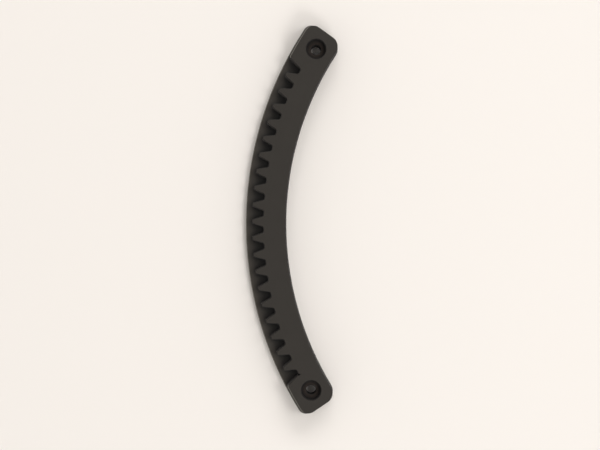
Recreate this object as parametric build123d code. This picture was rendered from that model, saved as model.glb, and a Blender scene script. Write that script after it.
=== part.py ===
# Curved gear rack, moulded in one piece: an arc with spur-gear teeth along its outer edge,
# a thin web under the teeth, and a pad with a recessed screw hole at each end.
# Its outer walls lean in towards the front, as a mould needs. The outlines are given at the flat back face.
# The origin lies midway between the two screw holes on the flat back face.
# +Y runs along the line through the holes, -X points to the teeth, +Z from the back to the front.

import os
from math import acos, asin, cos, pi, radians, sin, sqrt, tan

from build123d import *

# teeth, in gear terms: the arc is a stretch of one large wheel
module_size = 2.5
full_circle_teeth = 130
pressure_angle = 20.0
addendum = 2.1
dedendum = 3.3
tooth_thinning = 0.3
tip_rounding = 1.05
root_rounding = 0.7

# where the row of tooth spaces lies, measured along the pitch circle
first_space_gap = 13.35
last_space_gap = 8.0

# section of the arc
thickness = 10.0
web_thickness = 3.0
web_overhang = 2.9
rim_depth = 10.95
pad_setback = 1.0
mould_draft = 2.0

# screw holes and pads
hole_spacing = 160.0
bore_diameter = 4.5
hole_to_pad_edge = 9.25
seat_diameter = 9.2
seat_depth = 3.0
end_margin = 9.35
end_face_angle = 35.0

# corners and edges
inner_corner_rounding = 5.35
outer_corner_rounding = 4.85
web_corner_rounding = 4.0
front_edge_bevel = 0.3
web_edge_bevel = 0.3
bore_edge_bevel = 0.3

# a small nick in the front edge of the last root, measured from the middle of that space
nick_start = 0.3
nick_end = 1.9
nick_point = 1.75
nick_reach = 1.25
nick_depth = 2.0

# radii about the centre of the arc
pitch_radius = module_size * full_circle_teeth / 2
tip_radius = pitch_radius + addendum
root_radius = pitch_radius - dedendum
base_radius = pitch_radius * cos(radians(pressure_angle))
inner_radius = root_radius - rim_depth
web_radius = tip_radius + web_overhang
web_front_radius = web_radius - web_thickness * tan(radians(mould_draft))
pad_radius = web_radius - pad_setback
hole_radius = pad_radius - hole_to_pad_edge

# the arc's centre is placed so that both holes lie on the Y axis
hole_angle = asin(hole_spacing / 2 / hole_radius)
arc_centre_x = hole_radius * cos(hole_angle)

# the row starts beside the upper hole and takes as many spaces as fit
pitch_angle = 2 * pi / full_circle_teeth
row_room = 2 * hole_angle - (first_space_gap + last_space_gap) / pitch_radius
space_count = int(row_room / pitch_angle) + 1
first_space_angle = hole_angle - first_space_gap / pitch_radius
space_angles = [first_space_angle - i * pitch_angle for i in range(space_count)]

# where the bevel of the front begins, and the lean of its faces in degrees
bevel_base = thickness - front_edge_bevel
bevel_lean = 45.0


# a point at a radius from the arc's centre, its angle counted from -X towards +Y
def polar(radius, angle):
    return (arc_centre_x - radius * cos(angle), radius * sin(angle))


# the corners of the nick: its two ends on the root circle, and its point in the rim
nick_corners = [polar(radius, space_angles[-1] - along / root_radius) for radius, along in
                ((root_radius, nick_start), (root_radius - nick_reach, nick_point), (root_radius, nick_end))]


# the involute function of the angle at which an involute crosses a given radius
def involute(radius):
    crossing = acos(base_radius / radius)
    return tan(crossing) - crossing


# half the angle that a tooth space spans at a radius, between true involute flanks
def space_half_angle(radius):
    half_tooth = (pi * module_size / 2 - tooth_thinning) / 2 / pitch_radius
    return pitch_angle / 2 - half_tooth - involute(pitch_radius) + involute(radius)


# one tooth space: a root arc and two flanks, each an arc through three points of the involute
def space_outline(centre_angle, outer_radius):
    radii = (root_radius, (root_radius + outer_radius) / 2, outer_radius)
    upper, lower = (
        [polar(r, centre_angle + side * space_half_angle(r)) for r in radii] for side in (1, -1)
    )
    with BuildLine() as outline:
        ThreePointArc(*upper)
        Line(upper[2], lower[2])
        ThreePointArc(*lower)
        ThreePointArc(lower[0], polar(root_radius, centre_angle), upper[0])
    return outline.line


# the angle at which an end face meets a circle about the arc's centre
def end_angle(radius):
    face = radians(end_face_angle)
    offset = end_margin - hole_radius * sin(face - hole_angle)
    return face + asin(offset / radius)


# an arc-shaped plate between the inner edge and an outer radius, closed by the two end faces
def arc_plate(outer_radius, outer_corner):
    corners = [polar(r, side * end_angle(r)) for side, r in
               ((1, inner_radius), (1, outer_radius), (-1, outer_radius), (-1, inner_radius))]
    with BuildSketch() as plate:
        with BuildLine():
            Line(corners[0], corners[1])
            ThreePointArc(corners[1], polar(outer_radius, 0), corners[2])
            Line(corners[2], corners[3])
            ThreePointArc(corners[3], polar(inner_radius, 0), corners[0])
        make_face()
        by_reach = plate.vertices().sort_by(lambda v: reach(v))
        fillet(by_reach[:2], inner_corner_rounding)
        by_reach = plate.vertices().sort_by(lambda v: reach(v))
        fillet(by_reach[-2:], outer_corner)
    return plate.sketch


# how far a corner lies from the arc's centre
def reach(vertex):
    return sqrt((vertex.X - arc_centre_x) ** 2 + vertex.Y ** 2)


# the toothed body seen from the front: pads at the ends, tips set back between them
def body_sketch():
    past_pads = web_radius + pad_setback
    first, last = space_angles[0], space_angles[-1]
    middle = (first + last) / 2
    with BuildSketch() as body:
        add(arc_plate(pad_radius, outer_corner_rounding))
        with BuildLine():
            ThreePointArc(polar(tip_radius, first), polar(tip_radius, middle), polar(tip_radius, last))
            Line(polar(tip_radius, last), polar(past_pads, last))
            ThreePointArc(polar(past_pads, last), polar(past_pads, middle), polar(past_pads, first))
            Line(polar(past_pads, first), polar(tip_radius, first))
        make_face(mode=Mode.SUBTRACT)
        for angle in space_angles:
            with BuildLine():
                add(space_outline(angle, past_pads))
            make_face(mode=Mode.SUBTRACT)
        in_row = [v for v in body.vertices() if abs(v.Y) < polar(hole_radius, hole_angle)[1]]
        roots = [v for v in in_row if abs(reach(v) - root_radius) < 0.01]
        fillet(roots, root_rounding)
        in_row = [v for v in body.vertices() if abs(v.Y) < polar(hole_radius, hole_angle)[1]]
        tips = [v for v in in_row if min(abs(reach(v) - r) for r in (tip_radius, pad_radius)) < 0.01]
        fillet(tips, tip_rounding)
    return body.sketch


# the round edges of one diameter at one height
def rims(part, diameter, height):
    return [e for e in part.edges().filter_by(GeomType.CIRCLE)
            if abs(e.radius - diameter / 2) < 0.01 and abs(e.center().Z - height) < 0.01]


# the walls of a part that stand at right angles to its back face
def upright(part):
    return [f for f in part.faces() if abs(f.normal_at(f.center()).Z) < 0.01]


with BuildPart() as body:
    with BuildSketch():
        add(body_sketch())
    extrude(amount=bevel_base)
    draft(upright(body), Plane.XY, mould_draft)

# the bevel round the body's front is a thin cap with steeply leaning walls
with BuildPart() as front:
    extrude(to_extrude=body.faces().sort_by(Axis.Z)[-1], amount=front_edge_bevel)
    draft(upright(front), Plane.XY.offset(bevel_base), bevel_lean)

with BuildPart() as rack:
    with BuildSketch():
        add(arc_plate(web_radius, web_corner_rounding))
    extrude(amount=web_thickness)
    draft(upright(rack), Plane.XY, mould_draft)
    chamfer([e for e in rack.faces().sort_by(Axis.Z)[-1].edges()
             if abs(reach(e @ 0.5) - web_front_radius) < 0.01], web_edge_bevel)
    add(body.part)
    add(front.part)
    with Locations((0, hole_spacing / 2, thickness), (0, -hole_spacing / 2, thickness)):
        CounterBoreHole(bore_diameter / 2, seat_diameter / 2, seat_depth)
    chamfer(rims(rack, seat_diameter, thickness), front_edge_bevel)
    chamfer(rims(rack, bore_diameter, thickness - seat_depth), bore_edge_bevel)
    with BuildSketch(Plane.XY.offset(thickness)):
        with BuildLine():
            Polyline(nick_corners, close=True)
        make_face()
    extrude(amount=-nick_depth, mode=Mode.SUBTRACT)

print("solids", len(rack.solids()), "volume", round(rack.part.volume, 1), "spaces", space_count)
os.makedirs("parts", exist_ok=True)
export_step(rack.part, "parts/gear_rack.step")
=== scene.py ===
# A curved gear rack of black moulded plastic, lying on its back on a pale table
# and seen from straight above. Everything is in metres, in the frame of the CAD part:
# both screw holes on the Y axis, the teeth towards -X.

import math

import bpy
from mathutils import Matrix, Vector


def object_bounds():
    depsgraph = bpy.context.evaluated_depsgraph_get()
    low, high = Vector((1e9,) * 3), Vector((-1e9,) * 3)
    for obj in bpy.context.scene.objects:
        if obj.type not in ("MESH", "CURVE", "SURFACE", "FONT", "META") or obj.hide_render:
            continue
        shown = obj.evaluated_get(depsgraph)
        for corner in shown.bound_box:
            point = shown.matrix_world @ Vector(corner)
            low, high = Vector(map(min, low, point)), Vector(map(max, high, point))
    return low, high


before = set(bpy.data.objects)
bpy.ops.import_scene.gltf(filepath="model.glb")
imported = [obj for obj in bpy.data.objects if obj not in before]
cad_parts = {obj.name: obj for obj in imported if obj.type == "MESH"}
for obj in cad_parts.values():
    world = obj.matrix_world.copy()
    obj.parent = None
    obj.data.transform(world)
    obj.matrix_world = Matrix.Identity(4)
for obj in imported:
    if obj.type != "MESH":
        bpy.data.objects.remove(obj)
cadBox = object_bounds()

mm = 0.001


# turns an sRGB hex colour into the linear values that a shader reads
def hexToLinear(code):
    channels = [int(code[i:i + 2], 16) / 255 for i in (1, 3, 5)]
    linear = [c / 12.92 if c <= 0.04045 else ((c + 0.055) / 1.055) ** 2.4 for c in channels]
    return (*linear, 1.0)


# adds one node: inputs takes values or the outputs of other nodes, settings are the node's own
def addNode(tree, kind, inputs=None, **settings):
    node = tree.nodes.new(kind)
    for name, value in settings.items():
        setattr(node, name, value)
    for name, value in (inputs or {}).items():
        if isinstance(value, bpy.types.NodeSocket):
            tree.links.new(value, node.inputs[name])
        else:
            node.inputs[name].default_value = value
    return node


# an empty node tree in a new material
def newMaterial(name):
    material = bpy.data.materials.new(name)
    material.use_nodes = True
    material.node_tree.nodes.clear()
    return material


# Black acetal, injection moulded in a spark-eroded tool: a matt, very slightly grainy near-black
# that turns a little brown in the light, with soft cloudy patches where the melt cooled unevenly.
# The ledge in front of the teeth is painted paler towards its outer edge, as painted light, and the
# outer bevels carry a painted highlight. The corners get painted shade from their ambient occlusion,
# and the side walls and the recesses are painted darker, as painted shade. The side walls and the
# recesses are also duller, because the mould slid along them.
rackFinish = {
    "name": "acetal-moulded-sparkeroded",
    "colour": "#26211B",
    "cloudColour": "#2B2620",
    "cloudSize": 7.0,        # mm, from one patch to the next
    "cloudDetail": 3.0,
    "roughness": 0.45,
    "dullRoughness": 0.8,    # of the side walls and the recesses
    "ior": 1.48,
    "grainSize": 0.9,        # mm, the real grain is a tenth of this and would not show
    "grainDetail": 2.0,
    "grainDepth": 0.012,     # mm
    "edgeRadius": 0.1,       # mm, how round the moulded edges look
    "edgeSamples": 8,

    # the zones, in mm: start and full are distances from a hole's axis for the recesses and from
    # the arc's centre for the ledge and the bevels, and heights are counted from the back
    "arcCentre": 135.38,     # along X from the origin
    "holeSpacing": 160.0,
    # painted shade: the recesses are painted darker and browner, as the shade that falls in them
    "recess": {"colour": "#291D14", "start": 4.95, "full": 4.65, "above": 6.0},
    # painted light: the ledge is painted paler towards its outer edge, where light reaches past the
    # teeth
    "ledgeLight": {"colour": "#3F3932", "start": 162.5, "full": 167.0, "below": 3.1, "facingUp": 0.5},
    # painted shade: the side walls are painted darker
    "walls": {"colour": "#1A1612", "steep": 0.85},  # the most that a wall may face up or down
    # painted shade: corners turn blacker as their ambient occlusion deepens
    "corners": {"colour": "#0A0705", "size": 2.6, "open": 0.95, "dark": 0.45, "samples": 12},
    # painted highlight: a pale line along the outer bevels of the pads and the web
    "bevelHighlight": {"colour": "#7A766F", "start": 165.3, "full": 165.8, "lean": 45, "spread": 0.15},
}


# how far a point lies from an upright axis through a centre
def distanceInPlan(tree, point, centre):
    aside = addNode(tree, "ShaderNodeVectorMath", {0: point, 1: centre}, operation="SUBTRACT")
    flat = addNode(tree, "ShaderNodeVectorMath", {
        0: aside.outputs["Vector"],
        1: (1, 1, 0),
    }, operation="MULTIPLY")
    distance = addNode(tree, "ShaderNodeVectorMath", {0: flat.outputs["Vector"]}, operation="LENGTH")
    return distance.outputs["Value"]


# how much of each zone a point of the rack is in, from 0 to 1, in the order of painting
def rackZones(tree, place):
    point = place.outputs["Object"]
    recess, ledgeLight, walls = (rackFinish[zone] for zone in ("recess", "ledgeLight", "walls"))
    corners, bevelHighlight = rackFinish["corners"], rackFinish["bevelHighlight"]

    # one half is folded over the other, so that one axis stands for both holes
    folded = addNode(tree, "ShaderNodeVectorMath", {0: point}, operation="ABSOLUTE")
    fromHole = distanceInPlan(tree, folded.outputs["Vector"], (0, rackFinish["holeSpacing"] / 2 * mm, 0))
    fromCentre = distanceInPlan(tree, point, (rackFinish["arcCentre"] * mm, 0, 0))
    reached = {}
    for zone, distance in (("recess", fromHole), ("ledgeLight", fromCentre), ("bevelHighlight", fromCentre)):
        fade = addNode(tree, "ShaderNodeMapRange", {
            "Value": distance,
            "From Min": rackFinish[zone]["start"] * mm,
            "From Max": rackFinish[zone]["full"] * mm,
        })
        reached[zone] = fade.outputs["Result"]

    height = addNode(tree, "ShaderNodeSeparateXYZ", {"Vector": point})
    high = addNode(tree, "ShaderNodeMath", {
        0: height.outputs["Z"],
        1: recess["above"] * mm,
    }, operation="GREATER_THAN")
    low = addNode(tree, "ShaderNodeMath", {
        0: height.outputs["Z"],
        1: ledgeLight["below"] * mm,
    }, operation="LESS_THAN")

    # which way the surface faces tells the front from the walls, the bevels and the back
    facing = addNode(tree, "ShaderNodeSeparateXYZ", {"Vector": place.outputs["Normal"]})
    front = addNode(tree, "ShaderNodeMath", {
        0: facing.outputs["Z"],
        1: ledgeLight["facingUp"],
    }, operation="GREATER_THAN")
    # the slanted faces near the outer edge carry the painted highlight
    slanted = addNode(tree, "ShaderNodeMath", {
        0: facing.outputs["Z"],
        1: math.cos(math.radians(bevelHighlight["lean"])),
        2: bevelHighlight["spread"],
    }, operation="COMPARE")
    upOrDown = addNode(tree, "ShaderNodeMath", {0: facing.outputs["Z"]}, operation="ABSOLUTE")
    upright = addNode(tree, "ShaderNodeMath", {
        0: upOrDown.outputs["Value"],
        1: walls["steep"],
    }, operation="LESS_THAN")

    # painted shade in the corners: the ambient occlusion sets how much of the corner colour a point gets
    cornerOcclusion = addNode(tree, "ShaderNodeAmbientOcclusion", {
        "Distance": corners["size"] * mm,
    }, samples=corners["samples"], only_local=True)
    cornerShadeShare = addNode(tree, "ShaderNodeMapRange", {
        "Value": cornerOcclusion.outputs["AO"],
        "From Min": corners["open"],
        "From Max": corners["dark"],
    })

    # a zone is where all of its signs meet
    signs = {
        "recess": [high.outputs["Value"], reached["recess"]],
        "ledgeLight": [low.outputs["Value"], front.outputs["Value"], reached["ledgeLight"]],
        "walls": [upright.outputs["Value"]],
        "corners": [cornerShadeShare.outputs["Result"]],
        "bevelHighlight": [slanted.outputs["Value"], reached["bevelHighlight"]],
    }
    zones = {}
    for zone, sockets in signs.items():
        zones[zone] = sockets[0]
        for sign in sockets[1:]:
            both = addNode(tree, "ShaderNodeMath", {0: zones[zone], 1: sign}, operation="MULTIPLY")
            zones[zone] = both.outputs["Value"]
    return zones


def mouldedAcetal():
    material = newMaterial(rackFinish["name"])
    tree = material.node_tree
    place = addNode(tree, "ShaderNodeTexCoord")
    clouds = addNode(tree, "ShaderNodeTexNoise", {
        "Vector": place.outputs["Object"],
        "Scale": 1 / (rackFinish["cloudSize"] * mm),
        "Detail": rackFinish["cloudDetail"],
    })
    colour = addNode(tree, "ShaderNodeMix", {
        "Factor": clouds.outputs["Fac"],
        "A": hexToLinear(rackFinish["colour"]),
        "B": hexToLinear(rackFinish["cloudColour"]),
    }, data_type="RGBA")
    zones = rackZones(tree, place)
    # each zone colour is laid over the base: painted shade in the recesses, on the walls and in the
    # corners, painted light on the ledge and a painted highlight on the bevels
    for zone, share in zones.items():
        colour = addNode(tree, "ShaderNodeMix", {
            "Factor": share,
            "A": colour.outputs["Result"],
            "B": hexToLinear(rackFinish[zone]["colour"]),
        }, data_type="RGBA")
    dull = addNode(tree, "ShaderNodeMath", {0: zones["recess"], 1: zones["walls"]}, operation="MAXIMUM")
    roughness = addNode(tree, "ShaderNodeMapRange", {
        "Value": dull.outputs["Value"],
        "To Min": rackFinish["roughness"],
        "To Max": rackFinish["dullRoughness"],
    })
    rounded = addNode(tree, "ShaderNodeBevel", {
        "Radius": rackFinish["edgeRadius"] * mm,
    }, samples=rackFinish["edgeSamples"])
    grain = addNode(tree, "ShaderNodeTexNoise", {
        "Vector": place.outputs["Object"],
        "Scale": 1 / (rackFinish["grainSize"] * mm),
        "Detail": rackFinish["grainDetail"],
    })
    bump = addNode(tree, "ShaderNodeBump", {
        "Height": grain.outputs["Fac"],
        "Distance": rackFinish["grainDepth"] * mm,
        "Normal": rounded.outputs["Normal"],
    })
    shader = addNode(tree, "ShaderNodeBsdfPrincipled", {
        "Base Color": colour.outputs["Result"],
        "Roughness": roughness.outputs["Result"],
        "IOR": rackFinish["ior"],
        "Normal": bump.outputs["Normal"],
    })
    addNode(tree, "ShaderNodeOutputMaterial", {"Surface": shader.outputs["BSDF"]})
    return material


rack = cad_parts["gear_rack"]
rack.data.materials.clear()
rack.data.materials.append(mouldedAcetal())
print("rack finished")


# the table top: plain, pale and matt, a warm white
table = {
    "name": "painted-board-matt",
    "colour": "#F4EEE8",
    "roughness": 0.9,
    "specular": 0.0,
    "side": 3.0,
    "gap": 0.02,             # mm under the part, so that the two faces do not meet
}


def layTable():
    material = newMaterial(table["name"])
    tree = material.node_tree
    shader = addNode(tree, "ShaderNodeBsdfPrincipled", {
        "Base Color": hexToLinear(table["colour"]),
        "Roughness": table["roughness"],
        "Specular IOR Level": table["specular"],
    })
    addNode(tree, "ShaderNodeOutputMaterial", {"Surface": shader.outputs["BSDF"]})
    bpy.ops.mesh.primitive_plane_add(size=table["side"], location=(0, 0, -table["gap"] * mm))
    top = bpy.context.object
    top.name = "table"
    top.data.materials.append(material)


layTable()
print("table laid")


# soft light: a room that is brighter near the floor than overhead, and four soft boxes,
# the weakest of them on the side of the teeth
studio = {
    "roomLow": 1.1,
    "roomHigh": 0.25,
    "roomColour": "#FFFDFA",
    "distance": 2.4,         # from the part to each box
    "boxes": {               # degrees from +X and above the table, size and power
        "right": {"around": 5, "above": 57, "width": 0.8, "height": 0.8, "power": 11.8},
        "near": {"around": 300, "above": 42, "width": 0.8, "height": 0.8, "power": 14.0},
        "left": {"around": 180, "above": 68, "width": 0.8, "height": 0.8, "power": 2.0},
        "far": {"around": 75, "above": 35, "width": 2.0, "height": 0.8, "power": 21.6},
    },
}


def lightStudio():
    world = bpy.data.worlds.new("room")
    bpy.context.scene.world = world
    world.use_nodes = True
    tree = world.node_tree
    place = addNode(tree, "ShaderNodeTexCoord")
    direction = addNode(tree, "ShaderNodeSeparateXYZ", {"Vector": place.outputs["Generated"]})
    level = addNode(tree, "ShaderNodeMapRange", {
        "Value": direction.outputs["Z"],
        "To Min": studio["roomLow"],
        "To Max": studio["roomHigh"],
    }, interpolation_type="SMOOTHSTEP")
    background = tree.nodes["Background"]
    background.inputs["Color"].default_value = hexToLinear(studio["roomColour"])
    tree.links.new(level.outputs["Result"], background.inputs["Strength"])
    middle = (cadBox[0] + cadBox[1]) / 2
    for name, box in studio["boxes"].items():
        light = bpy.data.lights.new(name, "AREA")
        light.shape = "RECTANGLE"
        light.size, light.size_y = box["width"], box["height"]
        light.energy = box["power"]
        lamp = bpy.data.objects.new(name, light)
        bpy.context.scene.collection.objects.link(lamp)
        around, above = math.radians(box["around"]), math.radians(box["above"])
        outward = math.cos(above)
        toward = Vector((outward * math.cos(around), outward * math.sin(around), math.sin(above)))
        lamp.location = middle + toward * studio["distance"]
        lamp.rotation_mode = "QUATERNION"
        lamp.rotation_quaternion = toward.to_track_quat("Z", "Y")


lightStudio()
print("lights set")


# the camera looks straight down, a little to the left of and below the part's origin
camera = {
    "height": 0.600,
    "overX": -0.00633,
    "overY": -0.00261,
    "turn": 0.83,            # degrees
    "widthSeen": 0.2858,     # of the table
    "sensor": 36.0,          # mm
    "nearest": 0.01,
}


def placeCamera():
    lens = bpy.data.cameras.new("camera")
    lens.sensor_width = camera["sensor"]
    lens.lens = camera["sensor"] * camera["height"] / camera["widthSeen"]
    lens.clip_start = camera["nearest"]
    holder = bpy.data.objects.new("camera", lens)
    bpy.context.scene.collection.objects.link(holder)
    holder.location = (camera["overX"], camera["overY"], camera["height"])
    holder.rotation_euler = (0, 0, math.radians(camera["turn"]))
    bpy.context.scene.camera = holder
    bpy.context.scene.view_settings.view_transform = "Standard"


placeCamera()
print("camera placed")
